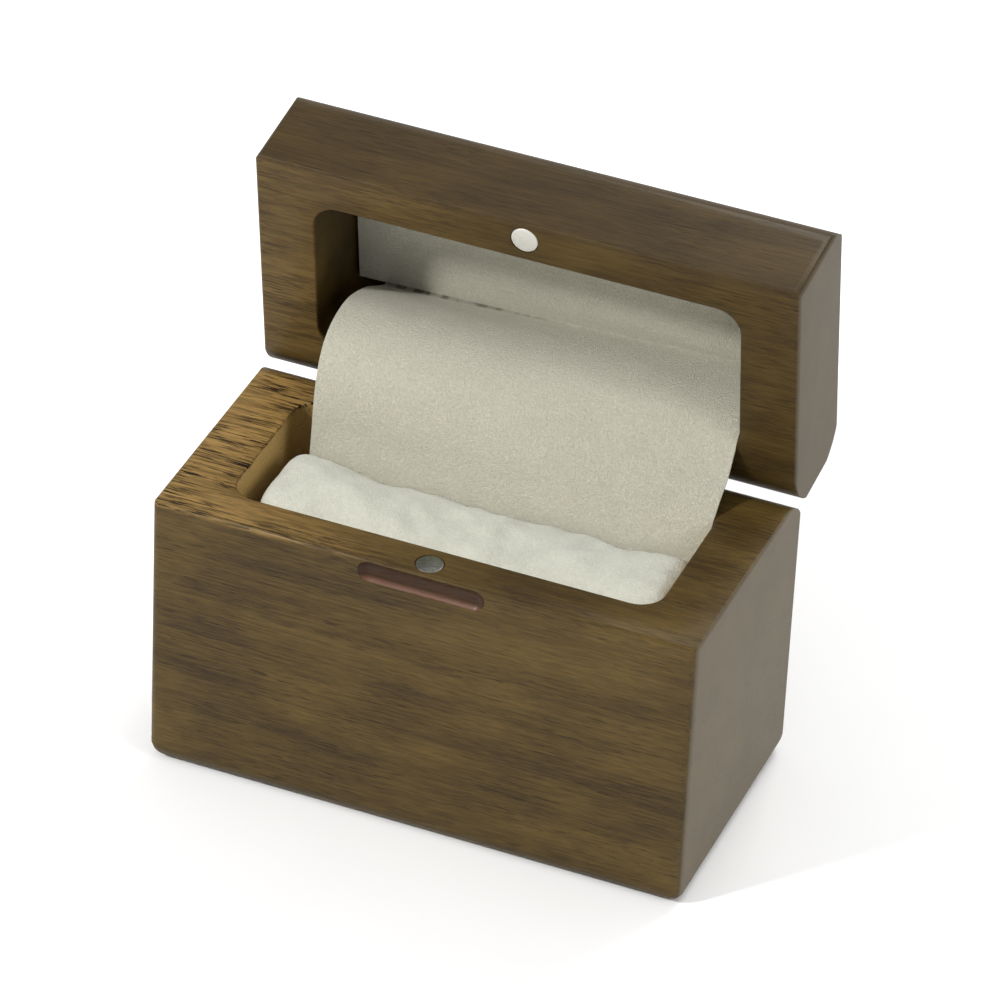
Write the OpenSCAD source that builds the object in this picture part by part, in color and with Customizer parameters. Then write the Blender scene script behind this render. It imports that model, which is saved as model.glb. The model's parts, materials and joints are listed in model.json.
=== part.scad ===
// Ring box with a hinged lid: two hollowed walnut blocks, a padded ring slot in the base,
// and a suede flap that runs from the lid into the slot and hides the two butt hinges.
// Millimetres. X runs along the width, -Y is the front, +Z is up.
// The origin is the middle of the base's underside. The lid is drawn open at lid_open degrees.

/* [Box] */
// Width of base and lid
box_w = 60; // [48:1:75]
// Depth of base and lid, front to back
box_d = 31; // [28:0.5:38]
// Height of the base block
base_h = 33; // [26:0.5:40]
// Height of the lid block
lid_h = 13.2; // [12:0.1:18]
// How far the lid stands open
lid_open = 82; // [60:1:100]
// Gap left between the two rims when the lid is shut
rim_gap = 0.1; // [0.05:0.05:0.3]

/* [Walls] */
// Thickness of the two side walls
side_wall = 6.4; // [5:0.1:9]
// Thickness of the front walls, which hold the magnets
front_wall = 4.9; // [4:0.1:6]
// Thickness of the rear walls, which hold the hinges
rear_wall = 7; // [6.5:0.1:8]
// Wood left under the pocket of the base
base_floor = 9; // [4:0.5:12]
// Wood left above the recess of the lid
lid_top = 1.5; // [1.2:0.1:3]
// Corner radius of the pocket and the recess, seen from above
pocket_r = 2.8; // [1:0.1:4]

/* [Edges] */
// Radius of the rims and of the sanded edges
edge_r = 0.4; // [0.2:0.1:0.8]
// Radius of the upright edges
upright_r = 0.9; // [0.5:0.1:2]
// Radius round the foot of the base
foot_r = 2; // [0.5:0.1:3]
// Radius of the base's rear top edge
base_rear_r = 5; // [4:0.1:6]
// Radius of the lid's rear rim edge
lid_rear_r = 6; // [5:0.1:7]
// Radius of the lid's front top edge
lid_front_r = 4; // [2:0.1:5]
// Radius of the lid's two end top edges
lid_end_r = 1.4; // [0.5:0.1:3]

/* [Magnets] */
// Diameter of a magnet
magnet_d = 3; // [2:0.1:3]
// Length of a magnet
magnet_l = 2; // [1:0.1:4]
// From the front face to the middle of a magnet
magnet_inset = 2.3; // [2.2:0.1:2.8]

/* [Thumb notch] */
// Length of the thumb notch along the front
notch_w = 14; // [8:0.1:20]
// Height of the notch's opening on the front face
notch_h = 2.5; // [1.5:0.1:4]
// Depth of the notch at its middle
notch_depth = 0.6; // [0.3:0.05:0.65]
// Wood left between the rim and the notch
notch_lip = 0.1; // [0:0.05:0.5]

/* [Hinges] */
// From the rear face to the hinge pins
pin_inset = 2.6; // [2.2:0.1:3]
// Middle of the box to the middle of each hinge
hinge_offset = 13; // [9:0.5:15]
// Length of a hinge along the box
hinge_l = 9; // [7.5:0.1:11]
// Width of a leaf from the pin's middle to its edge
leaf_w = 4; // [3.8:0.1:4.2]
// Thickness of a leaf
leaf_t = 0.7; // [0.6:0.05:0.8]
// Diameter of the knuckles
knuckle_d = 1.8; // [1.7:0.05:2]
// Diameter of a hinge pin
pin_d = 0.8; // [0.6:0.05:1]
// Diameter of a screw's shank
screw_d = 1; // [0.8:0.05:1.1]
// Diameter of a screw's countersunk head
screw_head_d = 1.8; // [1.5:0.05:1.9]
// Length of a screw under its head
screw_l = 4; // [2.5:0.1:6]
// Middle of a hinge to each of its screws
screw_offset = 2.8; // [2:0.1:3.2]

/* [Lining] */
// Thickness of the suede
suede_t = 0.5; // [0.4:0.05:0.8]
// Thickness of the stiff card
card_t = 0.5; // [0.4:0.05:1]
// Depth of the front roll, front to back
roll_d = 12.8; // [11:0.1:13.2]
// How far the front roll's top lies under the rim
roll_drop = 1.8; // [1.5:0.1:5]
// Radius of the front roll's two top edges
roll_r = 4.8; // [3:0.1:5.4]
// How far the rear pad's top lies under the rim
pad_drop = 5; // [3:0.1:8]
// Width of the flap
flap_w = 43.5; // [30:0.5:45]
// How far the flap reaches down the ring slot
flap_tuck = 13; // [6:0.5:16]
// How far the flap's other end reaches behind the lid's liner
flap_tail = 5; // [2:0.5:8]
// Height of the crease above the pins, along the lid
crease_h = 6.8; // [5.6:0.1:8]
// How far the flap's arch stands out in front of the pins
arch_out = 9.2; // [7:0.1:10]
// How far the flap's arch stands up above the pins
arch_up = 10.6; // [9:0.1:12]

/* [Clearances] */
// Play between the lining and the wood
lining_gap = 0.3; // [0.1:0.05:0.5]
// Play between pieces that are glued or screwed together
seat_gap = 0.03; // [0.02:0.01:0.06]
// Play of a pin in the knuckles that turn on it
pin_gap = 0.04; // [0.02:0.01:0.08]
// Play between a knuckle and the wood or knuckle beside it
knuckle_gap = 0.15; // [0.1:0.05:0.25]

/* [Hidden] */
$fn = 64;

walnut = "#6b4a2b";
brass = "#c8a25a";
nickel = "#c9c9c6";
suede = "#dcd8c6";
foam = "#e8e4d2";
card = "#b9a98a";

// The pins, and the inner faces of the walls
pin_y = box_d / 2 - pin_inset;
pin_z = base_h + rim_gap / 2;
lid_z = base_h + rim_gap;
inner_front = -box_d / 2 + front_wall;
inner_rear = box_d / 2 - rear_wall;
inner_w = box_w - 2 * side_wall;
magnet_y = -box_d / 2 + magnet_inset;
lid_top_rear_r = lid_h - lid_rear_r;
lid_depth = lid_h - lid_top;

// One hinge, measured from its own pin
knuckle_l = hinge_l / 3;
leaf_back = knuckle_d / 2 + knuckle_gap;
screw_y = -(leaf_w + leaf_back) / 2;
screw_sink = (screw_head_d - screw_d) / 2;

// The pieces of the lining
roll_z = base_floor + card_t;
roll_top = base_h - roll_drop;
roll_back = inner_front + lining_gap + roll_d;
pad_front = roll_back + suede_t + 2 * lining_gap;
tuck_y = roll_back + lining_gap + suede_t / 2;
card_depth = lid_depth - suede_t - 2 * seat_gap - card_t;
liner_depth = card_depth - suede_t;
arch_steps = 12;
crown_share = 0.35;
crown_ease = 4;
past = 1;

// A turn about the pins that opens the lid, for a point of the YZ plane given from the pins
function opened(p) = [
    p[0] * cos(lid_open) + p[1] * sin(lid_open),
    -p[0] * sin(lid_open) + p[1] * cos(lid_open)];

// A point of a cubic curve through four control points
function curve_point(c, t) =
    pow(1 - t, 3) * c[0] + 3 * t * pow(1 - t, 2) * c[1] + 3 * t * t * (1 - t) * c[2] + pow(t, 3) * c[3];
function curve(c, steps) = [for (i = [0 : steps]) curve_point(c, i / steps)];

// A line drawn at a distance beside another one, with mitred corners
function unit(v) = v / norm(v);
function left_of(v) = [-v[1], v[0]];
function beside(line, gap) = [for (i = [0 : len(line) - 1])
    let (
        last = len(line) - 1,
        coming = unit(line[max(i, 1)] - line[max(i, 1) - 1]),
        going = unit(line[min(i, last - 1) + 1] - line[min(i, last - 1)]),
        across = left_of(unit(coming + going)))
    line[i] + gap * across / (across * left_of(coming))];
function backwards(line) = [for (i = [len(line) - 1 : -1 : 0]) line[i]];

module lid_pose() {
    translate([0, pin_y, pin_z]) rotate([-lid_open, 0, 0]) translate([0, -pin_y, -pin_z]) children();
}

// What a rounded corner takes off a square one; into is the way to the inside
module corner_waste(r, into) {
    difference() {
        translate([into[0] > 0 ? -past : -r, into[1] > 0 ? -past : -r]) square(r + past);
        translate([into[0] * r, into[1] * r]) circle(r);
    }
}

// A rectangle from low to high with a radius for each corner, anticlockwise from low
module outline(low, high, radii) {
    difference() {
        translate(low) square(high - low);
        translate(low) corner_waste(radii[0], [1, 1]);
        translate([high[0], low[1]]) corner_waste(radii[1], [-1, 1]);
        translate(high) corner_waste(radii[2], [-1, -1]);
        translate([low[0], high[1]]) corner_waste(radii[3], [1, -1]);
    }
}

module along_x(length) {
    translate([-length / 2, 0, 0]) rotate([90, 0, 90]) linear_extrude(length) children();
}

module along_y(length) {
    translate([0, length / 2, 0]) rotate([90, 0, 0]) linear_extrude(length) children();
}

// A block that stands on z = 0: radii of its end profile, of its front view and of its plan
module sanded_block(h, end_radii, front_radii) {
    intersection() {
        along_x(box_w) outline([-box_d / 2, 0], [box_d / 2, h], end_radii);
        along_y(box_d) outline([-box_w / 2, 0], [box_w / 2, h], front_radii);
        linear_extrude(h)
            outline([-box_w / 2, -box_d / 2], [box_w / 2, box_d / 2], upright_r * [1, 1, 1, 1]);
    }
}

// The hollow inside the walls, grown by gap
module hollow(h, gap = 0) {
    linear_extrude(h)
        outline([-inner_w / 2 - gap, inner_front - gap], [inner_w / 2 + gap, inner_rear + gap],
            (pocket_r + gap) * [1, 1, 1, 1]);
}

module magnet_hole() {
    translate([0, magnet_y, -magnet_l - seat_gap])
        cylinder(d = magnet_d + 2 * seat_gap, h = magnet_l + seat_gap + past);
}

// Cuts for one hinge below a rim at z = 0, with the pin at the origin
module hinge_seat() {
    translate([-hinge_l / 2 - seat_gap, -leaf_w - seat_gap, -leaf_t - seat_gap])
        cube([hinge_l + 2 * seat_gap, leaf_w + seat_gap, leaf_t + seat_gap + past]);
    translate([-hinge_l / 2 - seat_gap, 0, rim_gap / 2]) rotate([0, 90, 0])
        cylinder(r = leaf_back, h = hinge_l + 2 * seat_gap);
    for (side = [-1, 1])
        translate([side * screw_offset, screw_y, -leaf_t - screw_l - past / 2])
            cylinder(d = screw_d + 2 * seat_gap, h = screw_l + past);
}

module both_hinge_seats() {
    for (side = [-1, 1]) translate([side * hinge_offset, pin_y, 0]) hinge_seat();
}

// A cove with round ends, as a ball cutter leaves it, in the front face just under the rim
module thumb_notch() {
    cutter_r = (notch_h * notch_h / 4 + notch_depth * notch_depth) / (2 * notch_depth);
    run = notch_w - notch_h;
    translate([0, -box_d / 2 + notch_depth - cutter_r, base_h - notch_lip - notch_h / 2]) {
        rotate([0, 90, 0]) cylinder(r = cutter_r, h = run, center = true);
        for (side = [-1, 1]) translate([side * run / 2, 0, 0]) sphere(cutter_r);
    }
}

module base_block() {
    color(walnut) difference() {
        sanded_block(base_h, [foot_r, foot_r, base_rear_r, edge_r], [foot_r, foot_r, edge_r, edge_r]);
        translate([0, 0, base_floor]) hollow(base_h);
        translate([0, 0, base_h]) magnet_hole();
        translate([0, 0, base_h]) both_hinge_seats();
        thumb_notch();
    }
}

module lid_block() {
    color(walnut) lid_pose() translate([0, 0, lid_z]) difference() {
        sanded_block(lid_h, [edge_r, lid_rear_r, lid_top_rear_r, lid_front_r],
            [edge_r, edge_r, lid_end_r, lid_end_r]);
        translate([0, 0, -past]) hollow(lid_depth + past);
        mirror([0, 0, 1]) magnet_hole();
        mirror([0, 0, 1]) both_hinge_seats();
    }
}

module magnet() {
    translate([0, magnet_y, -magnet_l]) cylinder(d = magnet_d, h = magnet_l);
}

module base_magnet() {
    color(nickel) translate([0, 0, base_h]) magnet();
}

module lid_magnet() {
    color(nickel) lid_pose() translate([0, 0, lid_z]) mirror([0, 0, 1]) magnet();
}

// A leaf below a rim at z = 0, with the pin at the origin; knuckles tells which of the three it has
module leaf(knuckles, bore_gap) {
    difference() {
        union() {
            translate([-hinge_l / 2, -leaf_w, -leaf_t]) cube([hinge_l, leaf_w - leaf_back, leaf_t]);
            for (k = knuckles) translate([(k - 1.5) * knuckle_l, 0, 0]) knuckle(k);
        }
        translate([-hinge_l / 2 - past, 0, rim_gap / 2]) rotate([0, 90, 0])
            cylinder(d = pin_d + 2 * bore_gap, h = hinge_l + 2 * past);
        for (side = [-1, 1]) translate([side * screw_offset, screw_y, 0]) screw_hole();
    }
}

// A knuckle and the strip that joins it to the leaf, trimmed where another one comes next to it
module knuckle(place) {
    trim_low = place > 0 ? knuckle_gap / 2 : 0;
    trim_high = place < 2 ? knuckle_gap / 2 : 0;
    translate([trim_low, 0, rim_gap / 2]) rotate([0, 90, 0])
        cylinder(d = knuckle_d, h = knuckle_l - trim_low - trim_high);
    translate([trim_low, -leaf_back - seat_gap, -leaf_t])
        cube([knuckle_l - trim_low - trim_high, leaf_back + seat_gap, leaf_t]);
}

module screw_hole() {
    translate([0, 0, -leaf_t - past]) cylinder(d = screw_d + 2 * seat_gap, h = leaf_t + 2 * past);
    translate([0, 0, -screw_sink - seat_gap])
        cylinder(d1 = screw_d, d2 = screw_head_d + 2 * past, h = screw_sink + past);
}

// A countersunk screw with a straight slot, its head level with z = 0
module screw() {
    difference() {
        union() {
            translate([0, 0, -leaf_t - screw_l + screw_sink]) cylinder(d = screw_d, h = leaf_t + screw_l - screw_sink);
            translate([0, 0, -screw_sink]) cylinder(d1 = screw_d, d2 = screw_head_d, h = screw_sink);
        }
        cube([screw_head_d + past, screw_d / 4, screw_sink], center = true);
    }
}

module leaf_screws() {
    for (side = [-1, 1]) translate([side * screw_offset, screw_y, 0]) screw();
}

module on_base(side) {
    translate([side * hinge_offset, pin_y, base_h]) children();
}

module on_lid(side) {
    lid_pose() translate([side * hinge_offset, pin_y, lid_z]) mirror([0, 0, 1]) children();
}

module hinge_base_leaf(side) {
    color(brass) on_base(side) leaf([0, 2], seat_gap);
}

module hinge_lid_leaf(side) {
    color(brass) on_lid(side) leaf([1], pin_gap);
}

module hinge_pin(side) {
    color(brass) translate([side * hinge_offset - hinge_l / 2, pin_y, pin_z])
        rotate([0, 90, 0]) cylinder(d = pin_d, h = hinge_l);
}

module hinge_base_screws(side) {
    color(brass) on_base(side) leaf_screws();
}

module hinge_lid_screws(side) {
    color(brass) on_lid(side) leaf_screws();
}

module pocket_card() {
    color(card) translate([0, 0, base_floor]) hollow(card_t, -lining_gap);
}

// The front roll's end profile, shrunk by inset
module roll_profile(inset) {
    outline([inner_front + lining_gap + inset, roll_z + inset], [roll_back - inset, roll_top - inset],
        [edge_r, edge_r, roll_r - inset, roll_r - inset]);
}

// The front roll inside the pocket's rounded corners, shrunk by inset all over
module front_roll(inset) {
    intersection() {
        along_x(inner_w) roll_profile(inset);
        hollow(base_h, -lining_gap - inset);
    }
}

module front_roll_core() {
    color(foam) front_roll(suede_t + seat_gap);
}

module front_roll_cover() {
    color(suede) difference() {
        front_roll(0);
        front_roll(suede_t);
    }
}

module rear_pad() {
    color(foam) intersection() {
        along_x(inner_w)
            outline([pad_front, roll_z], [inner_rear - lining_gap, base_h - pad_drop], edge_r * [1, 1, 3, 3]);
        hollow(base_h, -lining_gap);
    }
}

// A flat layer in the lid that ends at the crease, where the flap comes out from behind it
module lid_layer(depth, thickness) {
    lid_pose() difference() {
        translate([0, 0, lid_z + depth]) hollow(thickness, -lining_gap);
        translate([-box_w / 2, pin_y - crease_h, lid_z]) cube([box_w, box_d, lid_h]);
    }
}

module lid_card() {
    color(card) lid_layer(card_depth, card_t);
}

module lid_liner() {
    color(suede) lid_layer(liner_depth, suede_t);
}

// The flap's middle line from its tail behind the card, round the arch and down the ring slot.
// It is given in Y and Z from the pins.
function flap_line() =
    let (
        tail_z = lid_z - pin_z + lid_depth - seat_gap - suede_t / 2,
        crease_y = -crease_h + suede_t / 2 + seat_gap,
        tail = opened([-crease_h - flap_tail, tail_z]),
        turn = opened([crease_y, tail_z]),
        crease = opened([crease_y, lid_z - pin_z + liner_depth]),
        crown = [-arch_out * crown_share, arch_up],
        slot = [tuck_y - pin_y, roll_top - pin_z],
        slot_end = slot - [0, flap_tuck])
    concat(
        [tail, turn],
        curve([crease, crease + opened([0, -crown_ease]), crown + [crown_ease, 0], crown], arch_steps),
        [for (i = [1 : arch_steps])
            curve_point([crown, [-arch_out, arch_up], slot + [0, arch_up], slot], i / arch_steps)],
        [slot_end]);

module hinge_flap() {
    line = [for (p = flap_line()) p + [pin_y, pin_z]];
    color(suede) along_x(flap_w)
        polygon(concat(beside(line, suede_t / 2), backwards(beside(line, -suede_t / 2))));
}

module left_hinge_base_leaf() { hinge_base_leaf(-1); }
module left_hinge_lid_leaf() { hinge_lid_leaf(-1); }
module left_hinge_pin() { hinge_pin(-1); }
module left_hinge_base_screws() { hinge_base_screws(-1); }
module left_hinge_lid_screws() { hinge_lid_screws(-1); }
module right_hinge_base_leaf() { hinge_base_leaf(1); }
module right_hinge_lid_leaf() { hinge_lid_leaf(1); }
module right_hinge_pin() { hinge_pin(1); }
module right_hinge_base_screws() { hinge_base_screws(1); }
module right_hinge_lid_screws() { hinge_lid_screws(1); }

base_block();
lid_block();
base_magnet();
lid_magnet();
left_hinge_base_leaf();
left_hinge_lid_leaf();
left_hinge_pin();
left_hinge_base_screws();
left_hinge_lid_screws();
right_hinge_base_leaf();
right_hinge_lid_leaf();
right_hinge_pin();
right_hinge_base_screws();
right_hinge_lid_screws();
pocket_card();
front_roll_core();
front_roll_cover();
rear_pad();
lid_card();
lid_liner();
hinge_flap();
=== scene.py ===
import json
import math

import bpy
from mathutils import Matrix, Vector, noise


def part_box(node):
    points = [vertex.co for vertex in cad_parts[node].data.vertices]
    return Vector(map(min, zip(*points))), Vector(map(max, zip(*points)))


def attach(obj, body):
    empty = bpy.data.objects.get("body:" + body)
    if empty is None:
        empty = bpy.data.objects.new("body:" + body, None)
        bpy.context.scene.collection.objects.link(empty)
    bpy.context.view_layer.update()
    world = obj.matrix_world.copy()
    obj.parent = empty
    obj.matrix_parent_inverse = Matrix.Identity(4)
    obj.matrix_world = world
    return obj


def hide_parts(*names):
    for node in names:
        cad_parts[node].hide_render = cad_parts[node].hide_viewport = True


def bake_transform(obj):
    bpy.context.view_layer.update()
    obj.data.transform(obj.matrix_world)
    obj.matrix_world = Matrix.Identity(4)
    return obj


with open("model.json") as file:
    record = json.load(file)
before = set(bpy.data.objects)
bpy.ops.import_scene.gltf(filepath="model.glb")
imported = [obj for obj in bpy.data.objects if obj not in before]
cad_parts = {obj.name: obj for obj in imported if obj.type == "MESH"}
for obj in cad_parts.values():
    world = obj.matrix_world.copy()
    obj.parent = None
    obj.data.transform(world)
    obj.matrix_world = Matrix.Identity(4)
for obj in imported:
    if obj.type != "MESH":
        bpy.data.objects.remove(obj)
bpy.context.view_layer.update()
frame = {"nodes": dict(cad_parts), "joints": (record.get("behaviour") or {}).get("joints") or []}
print("ring box: the packed parts are in")

# Lengths here are in millimetres; pieces are scaled to metres when they are finished
mm = 0.001
bpy.context.scene.view_settings.view_transform = "Standard"


def boxOf(name):
    low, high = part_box(name)
    return Vector(low) / mm, Vector(high) / mm


hinge = frame["joints"][0]
pin = Vector(hinge["pos_m"]) / mm
openAngle = math.radians(-hinge["range_deg"][0])  # how far the lid stands open at rest
lidTurn = Matrix.Translation(pin) @ Matrix.Rotation(-openAngle, 4, "X") @ Matrix.Translation(-pin)
baseHigh = boxOf("base_block")[1]
halfWidth, halfDepth, rim = baseHigh

# Sizes that both wooden blocks share, and those of the thumb notch, which is stained and painted with shade
# and a highlight as well as cut
wood = {"sideWall": 6.4, "frontWall": 4.9, "rearWall": 7.0, "hollowRadius": 2.8, "uprightRadius": 0.9,
        "edgeRadius": 0.4, "softEdge": 0.22}
notchPart = {"width": 14.0, "height": 2.5, "depth": 0.6, "lip": 0.1}


def pick(*pieces):
    if bpy.context.mode != "OBJECT":
        bpy.ops.object.mode_set(mode="OBJECT")
    bpy.ops.object.select_all(action="DESELECT")
    for piece in pieces:
        piece.select_set(True)
    bpy.context.view_layer.objects.active = pieces[-1] if pieces else None


def settle(name):
    piece = bpy.context.object
    piece.name = name
    bpy.ops.object.transform_apply(location=True, rotation=True, scale=True)
    return piece


def addBlock(name, low, high):
    pick()
    low, high = Vector(low), Vector(high)
    bpy.ops.mesh.primitive_cube_add(size=1, location=(low + high) / 2, scale=high - low)
    return settle(name)


def addDrum(name, middle, radius, length, axis="Z", sides=48):
    pick()
    turned = {"X": (0, math.pi / 2, 0), "Z": (0, 0, 0)}[axis]
    bpy.ops.mesh.primitive_cylinder_add(vertices=sides, radius=radius, depth=length,
                                        location=middle, rotation=turned)
    return settle(name)


# Opens a piece in edit mode with the edges that pass a test selected
def markEdges(piece, wanted):
    pick(piece)
    bpy.ops.object.mode_set(mode="EDIT")
    bpy.ops.mesh.select_mode(type="EDGE")
    bpy.ops.mesh.select_all(action="DESELECT")
    bpy.ops.object.mode_set(mode="OBJECT")
    points = piece.data.vertices
    for edge in piece.data.edges:
        a, b = (points[i] for i in edge.vertices)
        if wanted(a.co, b.co):
            edge.select = a.select = b.select = True
    bpy.ops.object.mode_set(mode="EDIT")


def roundEdges(piece, wanted, radius, segments):
    markEdges(piece, wanted)
    bpy.ops.mesh.bevel(offset=radius, segments=segments, affect="EDGES", profile=0.5,
                       clamp_overlap=False)
    bpy.ops.object.mode_set(mode="OBJECT")


def applyModifier(piece, kind, settings):
    change = piece.modifiers.new(kind.lower(), kind)
    for name, value in settings.items():
        setattr(change, name, value)
    pick(piece)
    bpy.ops.object.modifier_apply(modifier=change.name)


def carve(piece, tool, operation="DIFFERENCE"):
    applyModifier(piece, "BOOLEAN", {"operation": operation, "solver": "EXACT", "object": tool})
    bpy.data.objects.remove(tool)


def near(value, goal, within=0.01):
    return abs(value - goal) < within


# Tests for edges: upright ones, and ones that lie at a height
def upright(a, b):
    return near(a.x, b.x) and near(a.y, b.y)


def atHeight(z):
    return lambda a, b: near(a.z, z) and near(b.z, z)


# Merges doubles, turns faces outwards, scales to metres, smooths, and fixes the piece to its body
def finishPiece(piece, body, smoothAngle):
    pick(piece)
    bpy.ops.object.mode_set(mode="EDIT")
    bpy.ops.mesh.select_all(action="SELECT")
    bpy.ops.mesh.remove_doubles(threshold=0.0005)
    bpy.ops.mesh.normals_make_consistent(inside=False)
    bpy.ops.object.mode_set(mode="OBJECT")
    piece.scale = (mm, mm, mm)
    bpy.ops.object.transform_apply(location=True, rotation=True, scale=True)
    bpy.ops.object.shade_smooth_by_angle(angle=math.radians(smoothAngle))
    if body:
        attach(piece, body)


# The lid's pieces are built shut and then turned open about the pins
def turnLid(piece):
    pick(piece)
    piece.matrix_world = lidTurn
    bpy.ops.object.transform_apply(location=True, rotation=True, scale=True)


# Where the camera stands in millimetres, and its bearing, height and roll in degrees
cameraPlace = {"from": (201.116, -525.561, 427.782), "side": 20.779, "height": 35.036, "roll": 2.78,
               "lens": 242.735, "film": 36}


# The way out from the box towards a bearing and a height, both in degrees
def outward(side, height):
    a, h = math.radians(side), math.radians(height)
    return Vector((math.sin(a) * math.cos(h), -math.cos(a) * math.cos(h), math.sin(h)))


bpy.ops.object.camera_add()
camera = bpy.context.object
camera.name = "main_camera"
back = outward(cameraPlace["side"], cameraPlace["height"])
right = Vector((-back.y, back.x, 0)).normalized()
turn = Matrix((right, back.cross(right), back)).transposed()
lean = Matrix.Rotation(math.radians(cameraPlace["roll"]), 3, "Z")
camera.matrix_world = Matrix.Translation(Vector(cameraPlace["from"]) * mm) @ (turn @ lean).to_4x4()
camera.data.lens = cameraPlace["lens"]
camera.data.sensor_width = cameraPlace["film"]
camera.data.clip_start = 0.01
bpy.context.scene.camera = camera

# Lamps by watts, width in metres, bearing and height in degrees
lamps = {
    "key_light": (3.1, 0.075, -40, 38.5),
    "fill_light": (1.0, 0.30, 74, 32),
    "back_light": (2.6, 0.36, 168, 46),
}
studio = {"room": 0.54, "lampDistance": 0.65, "aim": (0, 0, 0.03), "floorSize": 6}

for name, (watts, size, side, height) in lamps.items():
    pick()
    away = outward(side, height)
    bpy.ops.object.light_add(type="AREA", location=away * studio["lampDistance"] + Vector(studio["aim"]))
    light = bpy.context.object
    light.name = name
    light.data.shape = "DISK"
    light.data.size = size
    light.data.energy = watts
    light.rotation_euler = away.to_track_quat("Z", "Y").to_euler()

world = bpy.data.worlds.new("white_room")
world.use_nodes = True
world.node_tree.nodes["Background"].inputs["Color"].default_value = (1, 1, 1, 1)
world.node_tree.nodes["Background"].inputs["Strength"].default_value = studio["room"]
bpy.context.scene.world = world
print("ring box: camera and lights are set")


# Wraps a node's output so that maths on it reads as a formula
class Wire:
    def __init__(self, tree, socket=None):
        self.tree, self.socket = tree, socket

    # Adds any node: its settings come first, then the values or wires of its sockets
    def node(self, kind, settings={}, sockets={}, out=0):
        made = self.tree.nodes.new(kind)
        for name, value in settings.items():
            setattr(made, name, value)
        for name, value in sockets.items():
            if isinstance(value, Wire):
                self.tree.links.new(value.socket, made.inputs[name])
            else:
                made.inputs[name].default_value = value
        return Wire(self.tree, made.outputs[out])

    def maths(self, operation, a, b=0.0):
        return self.node("ShaderNodeMath", {"operation": operation}, {0: a, 1: b})

    def __add__(self, other):
        return self.maths("ADD", self, other)

    __radd__ = __add__

    def __sub__(self, other):
        return self.maths("SUBTRACT", self, other)

    def __rsub__(self, other):
        return self.maths("SUBTRACT", other, self)

    def __mul__(self, other):
        return self.maths("MULTIPLY", self, other)

    __rmul__ = __mul__

    def __truediv__(self, other):
        return self.maths("DIVIDE", self, other)

    def __rtruediv__(self, other):
        return self.maths("DIVIDE", other, self)

    def __abs__(self):
        return self.maths("ABSOLUTE", self)

    # 0 below low, 1 above high, and a smooth rise between them
    def rise(self, low, high):
        return self.node("ShaderNodeMapRange", {"interpolation_type": "SMOOTHSTEP"},
                         {"Value": self, "From Min": low, "From Max": high})

    def mapped(self, scale=(1, 1, 1), move=(0, 0, 0), turn=(0, 0, 0)):
        return self.node("ShaderNodeMapping", {"vector_type": "POINT"},
                         {"Vector": self, "Scale": scale, "Location": move, "Rotation": turn})

    def noise(self, detail, roughness, distortion=0.0, scale=1.0):
        return self.node("ShaderNodeTexNoise", {}, {"Vector": self, "Scale": scale, "Detail": detail,
                                                    "Roughness": roughness, "Distortion": distortion})

    def axes(self):
        parts = self.node("ShaderNodeSeparateXYZ", {}, {0: self})
        return [Wire(self.tree, output) for output in parts.socket.node.outputs]

    # Mixes two colours; 6, 7 and output 2 are the colour sockets of a Mix node
    def tint(self, amount, first, second):
        first, second = (c if isinstance(c, Wire) else (*c, 1) for c in (first, second))
        return self.node("ShaderNodeMix", {"data_type": "RGBA"}, {0: amount, 6: first, 7: second}, out=2)


# A new material, with the place on the piece in millimetres
def newFinish(name):
    material = bpy.data.materials.new(name)
    material.use_nodes = True
    tree = material.node_tree
    place = Wire(tree).node("ShaderNodeTexCoord", out="Object").mapped((1 / mm, 1 / mm, 1 / mm))
    return material, place


def connect(material, sockets):
    tree = material.node_tree
    shader = tree.nodes["Principled BSDF"]
    for name, value in sockets.items():
        if isinstance(value, Wire):
            tree.links.new(value.socket, shader.inputs[name])
        else:
            shader.inputs[name].default_value = value
    return material


def relief(height, strength, depth):
    return height.node("ShaderNodeBump", {}, {"Strength": strength, "Distance": depth * mm,
                                              "Height": height})


walnutLook = {
    "heart": (0.024, 0.0130, 0.0036), "pale": (0.110, 0.070, 0.0170), "pore": (0.008, 0.004, 0.0015),
    "worn": (0.42, 0.255, 0.080), "bareAndLit": (0.56, 0.37, 0.135), "endGrainAndGlare": (0.172, 0.150, 0.112),
    "stainAndShade": (0.030, 0.0120, 0.0060), "lipStainAndHighlight": (0.140, 0.062, 0.038),
    "trunk": (26, 44), "ringWidth": 5.2, "ringWander": 12,
    "ringShare": 0.17, "fibreShare": 0.30, "fleckShare": 0.26, "cloudShare": 0.34,
    "roughness": 0.47, "specular": 0.14, "coat": 0.10, "coatRoughness": 0.25,
    "reliefStrength": 0.4, "reliefDepth": 0.10,
    # how often each pattern comes back in a millimetre, along the grain and across it
    "wander": (0.030, 0.10), "fibre": (0.10, 3.6), "fleck": (0.45, 7.5), "cloud": (0.07, 0.12),
    "poreDash": (0.38, 5.6), "rimDash": (0.24, 3.7), "crowd": (0.08, 0.30), "streak": (0.12, 1.1),
    "speck": (1, 4.2),
}


# A noise drawn out along the grain
def grain(place, name, move, detail, roughness, distortion=0.0):
    along, across = walnutLook[name]
    return place.mapped((along, across, across), move).noise(detail, roughness, distortion)


# 1 on the walls of the pocket, just inside the wood and below the rim, which are painted pale: bare wood,
# and painted light from the white cloth beside them
def pocketWalls(x, y, z):
    inner, outer = 0.05, 0.20
    side, front, rear = (halfWidth - wood["sideWall"], wood["frontWall"] - halfDepth,
                         halfDepth - wood["rearWall"])
    between = (1 - abs(x).rise(side + inner, side + outer)) * y.rise(front - outer, front - inner)
    return between * (1 - y.rise(rear + inner, rear + outer)) * (1 - z.rise(rim - 0.25, rim - 0.1))


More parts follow.
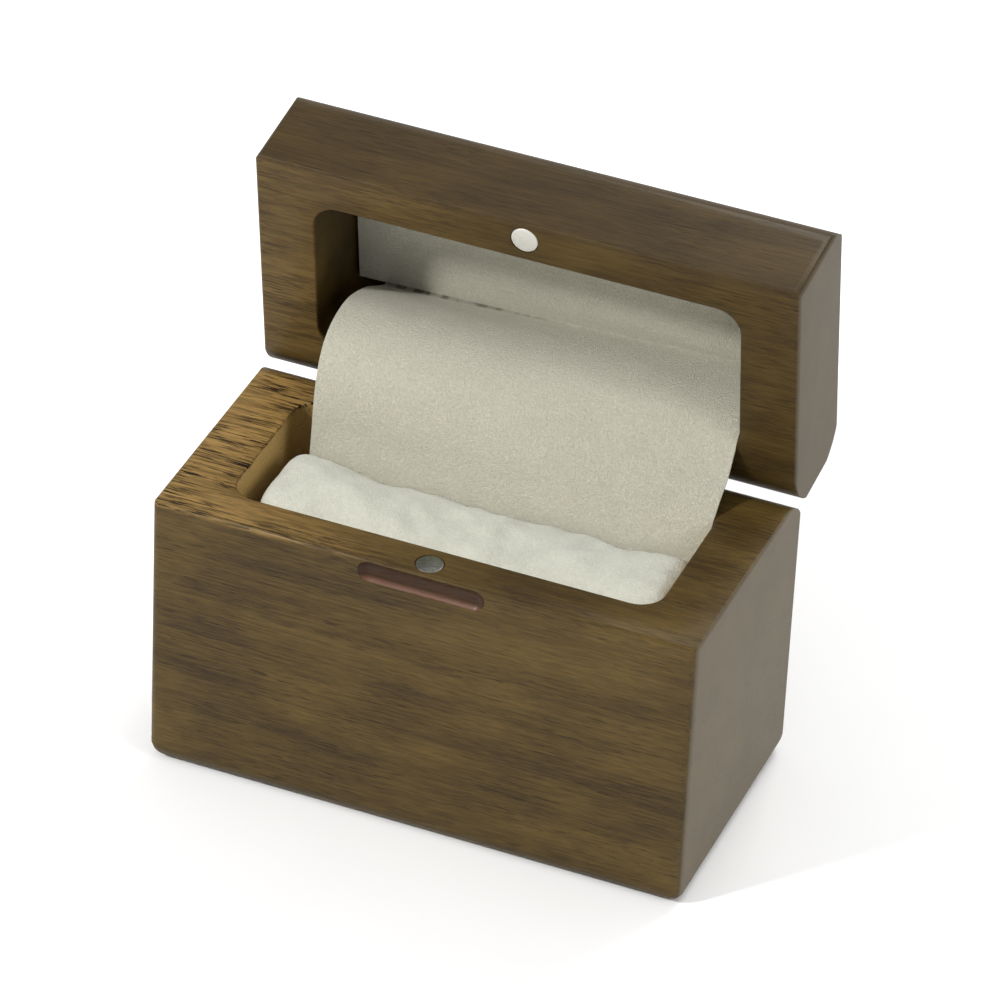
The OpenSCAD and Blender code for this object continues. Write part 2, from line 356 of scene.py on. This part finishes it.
# 1 inside the thumb notch
def notchHollow(x, y, z, onRim):
    half, low = notchPart["width"] / 2, rim - notchPart["lip"] - notchPart["height"]
    deep = notchPart["depth"] - halfDepth
    inside = (1 - abs(x).rise(half - 0.1, half + 0.1)) * (1 - y.rise(deep + 0.02, deep + 0.12))
    return inside * y.rise(0.015 - halfDepth, 0.07 - halfDepth) * (1 - onRim) * z.rise(low - 0.1, low)


# Oiled walnut with its grain along X. On the lid it is turned back to the lid's shut place first, so
# that the grain runs with the block. gold says how pale the sanded rim is.
def walnutFinish(name, onLid, seed, gold):
    look = walnutLook
    material, place = newFinish(name)
    if onLid:
        place = place.mapped(move=tuple(-pin)).mapped(turn=(openAngle, 0, 0), move=tuple(pin))
    x, y, z = place.axes()
    # slow wander of the rings, then the rings themselves, cut off the trunk's middle
    wander = (grain(place, "wander", (seed, 2, 5), 3, 0.55) - 0.5) * look["ringWander"]
    across, up = y + look["trunk"][0] + wander, z + look["trunk"][1] + wander * 0.7
    ring = place.maths("FRACT", place.maths("SQRT", across * across + up * up) / look["ringWidth"])
    rings = ring.rise(0.0, 0.8) * (1 - ring.rise(0.84, 1.0))
    # long fibres, short flecks and cloudy patches
    fibres = grain(place, "fibre", (seed, 0, 0), 4, 0.66)
    flecks = grain(place, "fleck", (0, seed, 0), 3, 0.6)
    clouds = grain(place, "cloud", (3, seed, 1), 3, 0.55)
    tone = (rings * look["ringShare"] + fibres.rise(0.34, 0.68) * look["fibreShare"]
            + flecks.rise(0.36, 0.66) * look["fleckShare"] + clouds.rise(0.34, 0.66) * look["cloudShare"])
    colour = place.tint(place.maths("MINIMUM", tone, 1.0), look["heart"], look["pale"])
    # the sanded rim is golden towards its rear left
    away = z * -1 if onLid else z
    onRim = away.rise((-rim if onLid else rim) - 0.7, (-rim if onLid else rim) - 0.1)
    leftSide = 1 - x.rise(-28, 5)
    streaks = grain(place, "streak", (1, seed, 6), 3, 0.6).rise(0.36, 0.62)
    golden = 0.03 + leftSide * (0.22 + y.rise(-12, 8) * 0.26 + streaks * 0.36)
    colour = place.tint(onRim * gold * golden, colour, look["worn"])
    if not onLid:
        # the pocket's walls are painted pale: bare wood, and painted bounce light from the cloth
        colour = place.tint(pocketWalls(x, y, z) * (0.55 + fibres * 0.45), colour, look["bareAndLit"])
    # open pores are short dark dashes, longer and denser where the rim is sanded
    crowd = grain(place, "crowd", (8, 1, seed), 2, 0.5).rise(0.36, 0.62)
    pores = grain(place, "poreDash", (seed, 4, 2), 2, 0.6, 0.1).rise(0.56, 0.68) * (0.35 + crowd * 0.65)
    dashes = grain(place, "rimDash", (seed, 7, 3), 3, 0.62, 0.2).rise(0.505, 0.565) * (0.35 + crowd * 0.8)
    dashes = dashes * (0.25 + leftSide * 0.75) * onRim * (0.3 + gold * 0.7)
    dark = place.maths("MAXIMUM", pores * 0.55, dashes * 0.9)
    colour = place.tint(dark, colour, look["pore"])
    # the sawn ends show their pores as specks, and are painted greyer and paler: end-grain tone, and
    # painted glare of the white room
    onEnd = abs(x).rise(halfWidth - 0.35, halfWidth - 0.02)
    specks = grain(place, "speck", (0, seed, 9), 3, 0.6)
    colour = place.tint(onEnd * (0.42 + specks * 0.34), colour, look["endGrainAndGlare"])
    rough = look["roughness"] + flecks * 0.12 + dark * 0.2 + onEnd * 0.1
    if onLid:
        # the lid is darker all over, and its front face, which faces up while the lid stands open, is
        # darker still: painted shade on that face
        shadedFront = 1 - y.rise(0.1 - halfDepth, 1.2 - halfDepth)
        colour = place.tint(0.22 + shadedFront * 0.30, colour, look["heart"])
    else:
        # the thumb notch is stained reddish brown; its upper part is painted dark as painted shade, and its
        # lower lip paler as a painted highlight
        inNotch = notchHollow(x, y, z, onRim)
        stainAndShade = place.tint(z.rise(rim - 2.5, rim - 1.9), look["lipStainAndHighlight"], look["stainAndShade"])
        colour = place.tint(inNotch * 0.85, colour, stainAndShade)
        rough = rough - inNotch * 0.2
    height = fibres * 0.5 + flecks * 0.4 - pores * 0.8 - dashes * 1.8
    return connect(material, {
        "Base Color": colour,
        "Roughness": rough,
        "Normal": relief(height, look["reliefStrength"], look["reliefDepth"]),
        "Specular IOR Level": look["specular"],
        "Coat Weight": look["coat"],
        "Coat Roughness": look["coatRoughness"],
    })


# The crease where the flap leaves the lid's lining, painted as a dark broken line of shade in the gap: its
# height above the pins at the middle, how much it climbs to the right, and how far behind the pins it
# starts
creaseShadow = {"height": 7.95, "climb": 0.032, "behind": 8.2, "colour": (0.13, 0.10, 0.055)}


def creased(place, tone):
    x, y, z = place.axes()
    off = abs(z - x * creaseShadow["climb"] - (pin.z + creaseShadow["height"]))
    rear = pin.y + creaseShadow["behind"]
    broken = place.mapped((0.7, 0.2, 0.2)).noise(2, 0.6).rise(0.42, 0.58)
    # painted shade in the gap between the liner and the flap
    line = (1 - off.rise(0.08, 0.26)) * y.rise(rear, rear + 0.3) * (0.3 + broken * 0.6)
    return place.tint(line, tone, creaseShadow["colour"])


# Cloth from a main colour and a shade; nap is the size of its fibres and mottle how cloudy it is
def clothFinish(name, colour, shade, nap, napStrength, sheen, mottle, crease=False):
    material, place = newFinish(name)
    fuzz = place.noise(3, 0.65, scale=1 / nap)
    coarse = place.noise(3, 0.55, scale=0.32)
    flecks = place.noise(2, 0.6, scale=2.4 / nap).rise(0.42, 0.62)
    mix = coarse.rise(0.32, 0.7) * mottle + fuzz.rise(0.3, 0.7) * (0.75 - mottle) + flecks * 0.25
    tone = place.tint(mix, shade, colour)
    return connect(material, {
        "Base Color": creased(place, tone) if crease else tone,
        "Roughness": 0.86 + fuzz * 0.1,
        "Normal": relief(fuzz * 0.8 + flecks * 0.35, napStrength, 0.25),
        "Specular IOR Level": 0.2,
        "Sheen Weight": sheen,
        "Sheen Roughness": 0.5,
    })


def metalFinish(name, colour, tarnish, roughness, scratch):
    material, place = newFinish(name)
    brushed = place.mapped((0.6, 9, 9)).noise(3, 0.6)
    spots = place.noise(3, 0.6, scale=0.9).rise(0.5, 0.75)
    return connect(material, {
        "Base Color": place.tint(spots * 0.5, colour, tarnish),
        "Metallic": 1.0,
        "Roughness": roughness + brushed * 0.14 + spots * 0.1,
        "Normal": relief(brushed, scratch, 0.05),
    })


# Foam, card and floor: two close tones in cells of a size in millimetres
def plainFinish(name, colour, second, cell, roughness, strength):
    material, place = newFinish(name)
    cells = place.noise(3, 0.6, scale=1 / cell)
    return connect(material, {
        "Base Color": place.tint(cells.rise(0.3, 0.7), second, colour),
        "Roughness": roughness + cells * 0.1,
        "Normal": relief(cells, strength, 0.2),
        "Specular IOR Level": 0.25,
    })


finishes = {
    "baseWalnut": walnutFinish("oiled_walnut_base", onLid=False, seed=3.1, gold=1.0),
    "lidWalnut": walnutFinish("oiled_walnut_lid", onLid=True, seed=11.7, gold=0.3),
    "suede": clothFinish("cream_suede", (0.67, 0.65, 0.525), (0.54, 0.52, 0.415), nap=0.30,
                         napStrength=0.9, sheen=0.25, mottle=0.15, crease=True),
    "plush": clothFinish("white_plush", (0.66, 0.665, 0.575), (0.54, 0.54, 0.455), nap=0.45,
                         napStrength=0.5, sheen=0.35, mottle=0.3),
    "brass": metalFinish("satin_brass", (0.72, 0.50, 0.22), (0.42, 0.28, 0.12), 0.26, 0.3),
    "nickel": metalFinish("nickel_plate", (0.24, 0.25, 0.22), (0.02, 0.025, 0.02), 0.12, 1.0),
    "dullNickel": metalFinish("dull_nickel_plate", (0.70, 0.69, 0.64), (0.55, 0.54, 0.50), 0.5, 0.4),
    "foam": plainFinish("cut_foam", (0.80, 0.77, 0.66), (0.62, 0.58, 0.46), 0.5, 0.9, 0.8),
    "card": plainFinish("grey_card", (0.55, 0.47, 0.34), (0.44, 0.37, 0.26), 0.8, 0.8, 0.3),
    "floor": plainFinish("pale_floor", (0.97, 0.97, 0.965), (0.95, 0.95, 0.945), 40, 0.75, 0.02),
}


def wear(piece, finish):
    piece.data.materials.clear()
    piece.data.materials.append(finishes[finish])


print("ring box: materials are mixed")

pick()
bpy.ops.mesh.primitive_plane_add(size=studio["floorSize"])
floor = settle("studio_floor")
wear(floor, "floor")

hair = 0.004  # cutters stand this far outside flat faces, so that only their round edges cut
beyond = 1  # and this far over edges that they leave alone


def alongX(y, z):
    return lambda a, b: near(a.y, y) and near(b.y, y) and near(a.z, z) and near(b.z, z)


# Small rounds get few segments
def segmentsFor(radius, most):
    return 5 if radius < 1 else most


# A block with all edges rounded in one go, so that its lower corners come out as balls, and with its
# rear upper edge cut to a wider round afterwards
def footedBlock(name, height, footRadius, rearRadius):
    w, d = halfWidth, halfDepth
    block = addBlock(name, (-w, -d, 0), (w, d, height))
    byLevel = (footRadius, wood["uprightRadius"], wood["edgeRadius"])
    weights = block.data.attributes.new("bevel_weight_edge", "FLOAT", "EDGE")
    for edge in block.data.edges:
        p, q = (block.data.vertices[i].co for i in edge.vertices)
        weights.data[edge.index].value = byLevel[round((p.z + q.z) / height)] / footRadius
    applyModifier(block, "BEVEL", {"limit_method": "WEIGHT", "width": footRadius, "segments": 12,
                                   "use_clamp_overlap": False})
    view = addBlock("end_view", (-w - beyond, -d - hair, -hair), (w + beyond, d + hair, height + hair))
    roundEdges(view, alongX(d, height), rearRadius, 16)
    carve(block, view, "INTERSECT")
    return block


# The shape left when the end profile, the front view and the plan of a block are cut from one piece.
# endRadii go round from the lower front edge, and frontRadii are those of the ends, below and above.
def sandedBlock(name, low, high, endRadii, frontRadii):
    w, d = halfWidth, halfDepth
    end = addBlock(name, (-w - beyond, -d, low), (w + beyond, d, high))
    for (y, z), radius in zip(((-d, low), (d, low), (d, high), (-d, high)), endRadii):
        roundEdges(end, alongX(y, z), radius, segmentsFor(radius, 16))
    front = addBlock("front_view", (-w, -d - beyond, low - hair), (w, d + beyond, high + hair))
    for z, radius in zip((low, high), frontRadii):
        roundEdges(front, lambda a, b: near(abs(a.x), w) and near(a.x, b.x) and atHeight(z)(a, b),
                   radius, segmentsFor(radius, 12))
    plan = addBlock("plan", (-w - hair, -d - hair, low - beyond), (w + hair, d + hair, high + beyond))
    roundEdges(plan, upright, wood["uprightRadius"], 8)
    carve(end, front, "INTERSECT")
    carve(end, plan, "INTERSECT")
    return end


# The cutter for the pocket or the recess, with round corners seen from above
def hollowTool(low, high):
    tool = addBlock("hollow", (wood["sideWall"] - halfWidth, wood["frontWall"] - halfDepth, low),
                    (halfWidth - wood["sideWall"], halfDepth - wood["rearWall"], high))
    roundEdges(tool, upright, wood["hollowRadius"], 10)
    return tool


# Softens the edge between a rim and its hollow
def softenRim(block, z):
    slack = 0.01
    side = halfWidth - wood["sideWall"] + slack
    front = wood["frontWall"] - halfDepth - slack
    rear = halfDepth - wood["rearWall"] + slack

    def onEdge(p):
        return near(p.z, z) and abs(p.x) < side and front < p.y < rear

    roundEdges(block, lambda a, b: onEdge(a) and onEdge(b), wood["softEdge"], 3)


magnetPart = {"diameter": 3.0, "length": 2.0, "inset": 2.3, "play": 0.05, "edge": 0.16}


# A disc in the middle of a front rim; way is 1 where the wood lies above the rim
def rimDisc(name, z, way, play, sides):
    return addDrum(name, (0, magnetPart["inset"] - halfDepth, z + way * magnetPart["length"] / 2),
                   magnetPart["diameter"] / 2 + play, magnetPart["length"] + 2 * play, sides=sides)


hingePart = {"offset": 13.0, "length": 9.0, "leafWidth": 4.0, "leafThickness": 0.7, "knuckle": 1.05,
             "play": 0.03}


# Cuts for both hinges beside a rim
def hingeSeats(block, z, way):
    play = hingePart["play"]
    half = hingePart["length"] / 2 + play
    front = pin.y - hingePart["leafWidth"] - play
    ends = (z - way, z + way * (hingePart["leafThickness"] + play))
    for middle in (-hingePart["offset"], hingePart["offset"]):
        carve(block, addBlock("leaf_seat", (middle - half, front, min(ends)),
                              (middle + half, pin.y, max(ends))))
        carve(block, addDrum("knuckle_seat", (middle, pin.y, pin.z), hingePart["knuckle"], 2 * half,
                             "X", 32))


basePart = {"floor": 9.0, "footRadius": 2.0, "rearRadius": 5.0}
clearOfRim = 3  # the hollows' cutters start this far outside the rims

baseBlock = footedBlock("base_wood", rim, basePart["footRadius"], basePart["rearRadius"])
carve(baseBlock, hollowTool(basePart["floor"], rim + clearOfRim))
softenRim(baseBlock, rim)
carve(baseBlock, rimDisc("magnet_hole", rim, -1, magnetPart["play"], 40))

# The thumb notch is cut by a drum with ball ends
coveRadius = (notchPart["height"] ** 2 / 4 + notchPart["depth"] ** 2) / (2 * notchPart["depth"])
ballRadius = coveRadius * 0.9999  # a trace smaller, so that its face doesn't coincide with the drum's
run = notchPart["width"] - notchPart["height"]
notchMiddle = Vector((0, -halfDepth + notchPart["depth"] - coveRadius,
                      rim - notchPart["lip"] - notchPart["height"] / 2))
cove = addDrum("cove", notchMiddle, coveRadius, run, "X", 96)
for side in (-1, 1):
    pick()
    bpy.ops.mesh.primitive_uv_sphere_add(segments=96, ring_count=48, radius=ballRadius,
                                         location=notchMiddle + Vector((side * run / 2, 0, 0)),
                                         rotation=(0, math.pi / 2, 0))
    carve(cove, settle("cove_end"), "UNION")
carve(baseBlock, cove)
hingeSeats(baseBlock, rim, -1)
finishPiece(baseBlock, "base", 32)
wear(baseBlock, "baseWalnut")
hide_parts("base_block")
print("ring box: the base is cut,", len(baseBlock.data.polygons), "faces")

# spare is what the two rounds at the rear leave flat between them
lidPart = {"height": 13.2, "top": 1.5, "rearRadius": 6.0, "frontRadius": 4.8, "endRadius": 1.4,
           "gap": 0.1, "spare": 0.03}
lidRim = rim + lidPart["gap"]
lidCeiling = lidRim + lidPart["height"] - lidPart["top"]
lidBlock = sandedBlock("lid_wood", lidRim, lidRim + lidPart["height"],
                       [wood["edgeRadius"], lidPart["rearRadius"],
                        lidPart["height"] - lidPart["rearRadius"] - lidPart["spare"],
                        lidPart["frontRadius"]],
                       [wood["edgeRadius"], lidPart["endRadius"]])
carve(lidBlock, hollowTool(lidRim - clearOfRim, lidCeiling))
softenRim(lidBlock, lidRim)
carve(lidBlock, rimDisc("magnet_hole", lidRim, 1, magnetPart["play"], 40))
hingeSeats(lidBlock, lidRim, 1)
turnLid(lidBlock)
finishPiece(lidBlock, "lid", 32)
wear(lidBlock, "lidWalnut")
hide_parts("lid_block")
print("ring box: the lid is cut,", len(lidBlock.data.polygons), "faces")

for name, z, way, finish in (("base_magnet", rim, -1, "nickel"), ("lid_magnet", lidRim, 1, "dullNickel")):
    disc = rimDisc(name + "_disc", z, way, 0, 64)
    roundEdges(disc, lambda a, b: near(a.z, b.z), magnetPart["edge"], 4)
    if way > 0:
        turnLid(disc)
    finishPiece(disc, name.split("_")[0], 40)
    wear(disc, finish)
    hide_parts(name)

# The hinges and cards keep their shapes and only get a finish
for name, node in frame["nodes"].items():
    if "hinge_" in name and name != "hinge_flap":
        wear(node, "brass")
    elif name.endswith("card"):
        wear(node, "card")
print("ring box: magnets, hinges and cards are finished")


# Evenly spaced places along a smooth curve through the points, and the curve's length
def smoothLine(points, steps):
    short = 8  # straights between two points
    run = [Vector(points[0])]
    for i in range(len(points) - 1):
        a, b, c, d = (Vector(points[min(max(i + k, 0), len(points) - 1)]) for k in (-1, 0, 1, 2))
        for k in range(1, short + 1):
            t = k / short
            run.append(0.5 * (2 * b + (c - a) * t + (2 * a - 5 * b + 4 * c - d) * t * t
                              + (3 * b - 3 * c + d - a) * t ** 3))
    lengths = [0]
    for p, q in zip(run, run[1:]):
        lengths.append(lengths[-1] + (q - p).length)
    line, k = [], 0
    for i in range(steps + 1):
        goal = lengths[-1] * i / steps
        while k < len(run) - 2 and lengths[k + 1] < goal:
            k += 1
        t = (goal - lengths[k]) / max(lengths[k + 1] - lengths[k], 1e-9)
        line.append(run[k].lerp(run[k + 1], t))
    return line, lengths[-1]


flapPart = {
    "width": 43.6, "shift": 1.5, "thickness": 0.5, "steps": 84, "columns": 80, "ripple": 0.25,
    # its left and right edges in Y and Z from the pins: from the tail behind the lid's card, round the
    # crease and the arch, down the ring slot
    "left": [(9.72, 13.28), (10.3, 9.6), (10.15, 7.5), (9.25, 6.9), (7.0, 8.0), (3.4, 9.9), (-1.4, 11.3),
             (-5.4, 10.7), (-7.7, 8.6), (-8.9, 4.7), (-9.5, 0.0), (-9.85, -3.6), (-9.85, -8), (-9.85, -15)],
    "right": [(9.72, 13.28), (10.3, 10.4), (10.1, 9.3), (9.0, 9.1), (6.0, 8.9), (3.0, 8.3), (0.6, 7.0),
              (-1.2, 4.8), (-2.8, 2.6), (-4.4, 1.5), (-5.8, 0.2), (-7.2, -1.8), (-8.8, -4.4),
              (-9.85, -8.2), (-9.85, -15)],
    # two places in Y and Z from the pins, which nothing in the script reads
    "bendFrom": (0, -9.6, -2.0), "bendTo": (0, 9.6, 8.4),
}

leftLine, leftLength = smoothLine(flapPart["left"], flapPart["steps"])
rightLine, rightLength = smoothLine(flapPart["right"], flapPart["steps"])
pick()
bpy.ops.mesh.primitive_grid_add(x_subdivisions=flapPart["columns"], y_subdivisions=flapPart["steps"],
                                size=2)
flap = settle("suede_flap")
for vertex in flap.data.vertices:
    u, v = (vertex.co.x + 1) / 2, (vertex.co.y + 1) / 2
    i = round(v * flapPart["steps"])
    place = leftLine[i].lerp(rightLine[i], u)
    x = (u - 0.5) * flapPart["width"] + flapPart["shift"]
    # the ripples fade out towards both ends
    fade = math.sin(math.pi * min(max((v - 0.25) / 0.5, 0), 1))
    ripple = noise.noise(Vector((x * 0.07, place.x * 0.12, place.y * 0.12))) * flapPart["ripple"] * fade
    vertex.co = Vector((x, pin.y + place.x - ripple, pin.z + place.y + ripple * 0.5))
applyModifier(flap, "SOLIDIFY", {"thickness": flapPart["thickness"], "offset": 0})
finishPiece(flap, None, 50)
wear(flap, "suede")
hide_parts("hinge_flap")
(leftLength + rightLength) / 2 * mm
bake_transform(flap)
print("ring box: the flap hangs")

# The liner lies on the lid's card, and the flap's tail is behind the card; its left end is longer
linerPart = {"thickness": 0.5, "card": 0.5, "play": 0.06, "edge": 0.3, "crease": 7.2, "creaseGap": 0.15,
             "slope": 1.5, "roundEdge": 0.18}
cardFace = lidCeiling - flapPart["thickness"] - linerPart["play"] - linerPart["card"]
low = Vector((wood["sideWall"] - halfWidth + linerPart["edge"],
              wood["frontWall"] - halfDepth + linerPart["edge"], cardFace - linerPart["thickness"]))
high = Vector((-low.x, pin.y - linerPart["crease"] - linerPart["creaseGap"], cardFace))
liner = addBlock("suede_liner", low, high)
roundEdges(liner, lambda a, b: upright(a, b) and a.y < 0, wood["hollowRadius"] - linerPart["edge"], 8)
for vertex in liner.data.vertices:
    if vertex.co.x < 0 and near(vertex.co.y, high.y):
        vertex.co.y += linerPart["slope"]
roundEdges(liner, atHeight(low.z), linerPart["roundEdge"], 3)
turnLid(liner)
finishPiece(liner, "lid", 40)
wear(liner, "suede")
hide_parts("lid_liner")

# leftIn is the bare gap at the roll's left end, press and above how far the plush stands out of the
# packed roll's box, and clamp how far it may at its ends and at its faces
rollPart = {"leftIn": 1.9, "swell": 1.2, "lump": 0.34, "voxel": 0.75, "topRadius": 3.2, "tilt": -0.25,
            "endRound": 1.5, "above": 0.95, "press": 1.7, "clampEnds": 0.2, "clampFaces": 0.25,
            "clothScale": 0.01, "frames": 20, "pressure": 4}
rollLow, rollHigh = boxOf("front_roll_cover")


def plumpRoll():
    shrink = rollPart["swell"] * 0.5
    top = rollHigh.z - shrink
    roll = addBlock("front_roll", rollLow + Vector((shrink + rollPart["leftIn"], 0.1, 0.2)),
                    rollHigh - Vector((shrink, shrink, shrink)))
    roundEdges(roll, lambda a, b: atHeight(top)(a, b) and near(a.y, b.y), rollPart["topRadius"], 6)
    roundEdges(roll, lambda a, b: (abs(a.x) > 18 and near(a.x, b.x) and min(a.z, b.z) > rollHigh.z - 8),
               rollPart["endRound"], 5)
    applyModifier(roll, "REMESH", {"mode": "VOXEL", "voxel_size": rollPart["voxel"]})
    start = [v.co.copy() for v in roll.data.vertices]
    # the cloth is blown up ten times as large as life, where its settings are steady
    for vertex in roll.data.vertices:
        vertex.co *= rollPart["clothScale"]
    cloth = roll.modifiers.new("cloth", "CLOTH")
    cloth.settings.use_pressure = True
    cloth.settings.uniform_pressure_force = rollPart["pressure"]
    cloth.settings.effector_weights.gravity = 0
    for step in range(1, rollPart["frames"] + 1):
        bpy.context.scene.frame_set(step)
    pick(roll)
    bpy.ops.object.modifier_apply(modifier="cloth")
    bpy.context.scene.frame_set(1)
    for vertex, old in zip(roll.data.vertices, start):
        move = vertex.co * (1 / rollPart["clothScale"]) - old
        if move.length > rollPart["swell"]:
            move *= rollPart["swell"] / move.length
        vertex.co = old + move
    return roll


# Stretches a piece until its box is the one from low to high
def stretchTo(piece, low, high):
    isLow, isHigh = (Vector([end(v.co[i] for v in piece.data.vertices) for i in range(3)])
                     for end in (min, max))
    for vertex in piece.data.vertices:
        share = [(vertex.co[i] - isLow[i]) / (isHigh[i] - isLow[i]) for i in range(3)]
        vertex.co = Vector([low[i] + share[i] * (high[i] - low[i]) for i in range(3)])


roll = plumpRoll()
# the plush fills the front of the pocket from wall to slot
stretchTo(roll, rollLow + Vector((rollPart["leftIn"] - rollPart["press"], -0.2, 0)),
          rollHigh + Vector((rollPart["press"], rollPart["press"], rollPart["above"])))
applyModifier(roll, "SUBSURF", {"levels": 1, "render_levels": 1})
for vertex in roll.data.vertices:
    p = vertex.co
    lump = noise.noise(Vector((p.x * 0.18, p.y * 0.25, 3.3)))
    lump += 0.7 * noise.noise(Vector((p.x * 0.5, p.y * 0.4, 9.1)))
    rise = max(0, (p.z - rollLow.z) / (rollHigh.z - rollLow.z))
    p.z += (lump * rollPart["lump"] + p.x / rollHigh.x * rollPart["tilt"]) * rise
    p.x = min(max(p.x, rollLow.x + rollPart["leftIn"] - rollPart["clampEnds"]),
              rollHigh.x + rollPart["clampEnds"])
    p.y = min(max(p.y, rollLow.y - rollPart["clampFaces"]), rollHigh.y + rollPart["clampFaces"])
    p.z = max(p.z, rollLow.z)
finishPiece(roll, "base", 180)
wear(roll, "plush")
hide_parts("front_roll_cover", "front_roll_core")
print("ring box: the roll is plump,", len(roll.data.polygons), "faces")

# The foam pad behind the flap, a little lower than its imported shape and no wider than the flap
padPart = {"halfLength": 21.0, "lower": 0.8, "topRadius": 1.6, "cornerRadius": 0.8, "voxel": 0.8,
           "lump": 0.15, "lumpBand": 3}
padLow, padHigh = boxOf("rear_pad")
padLow.x, padHigh.x = flapPart["shift"] - padPart["halfLength"], flapPart["shift"] + padPart["halfLength"]
padHigh.z -= padPart["lower"]
pad = addBlock("rear_foam", padLow, padHigh)
roundEdges(pad, lambda a, b: atHeight(padHigh.z)(a, b) and near(a.y, b.y), padPart["topRadius"], 5)
roundEdges(pad, upright, padPart["cornerRadius"], 3)
applyModifier(pad, "REMESH", {"mode": "VOXEL", "voxel_size": padPart["voxel"]})
applyModifier(pad, "SUBSURF", {"levels": 1, "render_levels": 1})
for vertex in pad.data.vertices:
    if vertex.co.z > padHigh.z - padPart["lumpBand"]:
        vertex.co.z += padPart["lump"] * noise.noise(vertex.co * 0.4)
finishPiece(pad, "base", 180)
wear(pad, "foam")
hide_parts("rear_pad")
print("ring box: the lining is in")
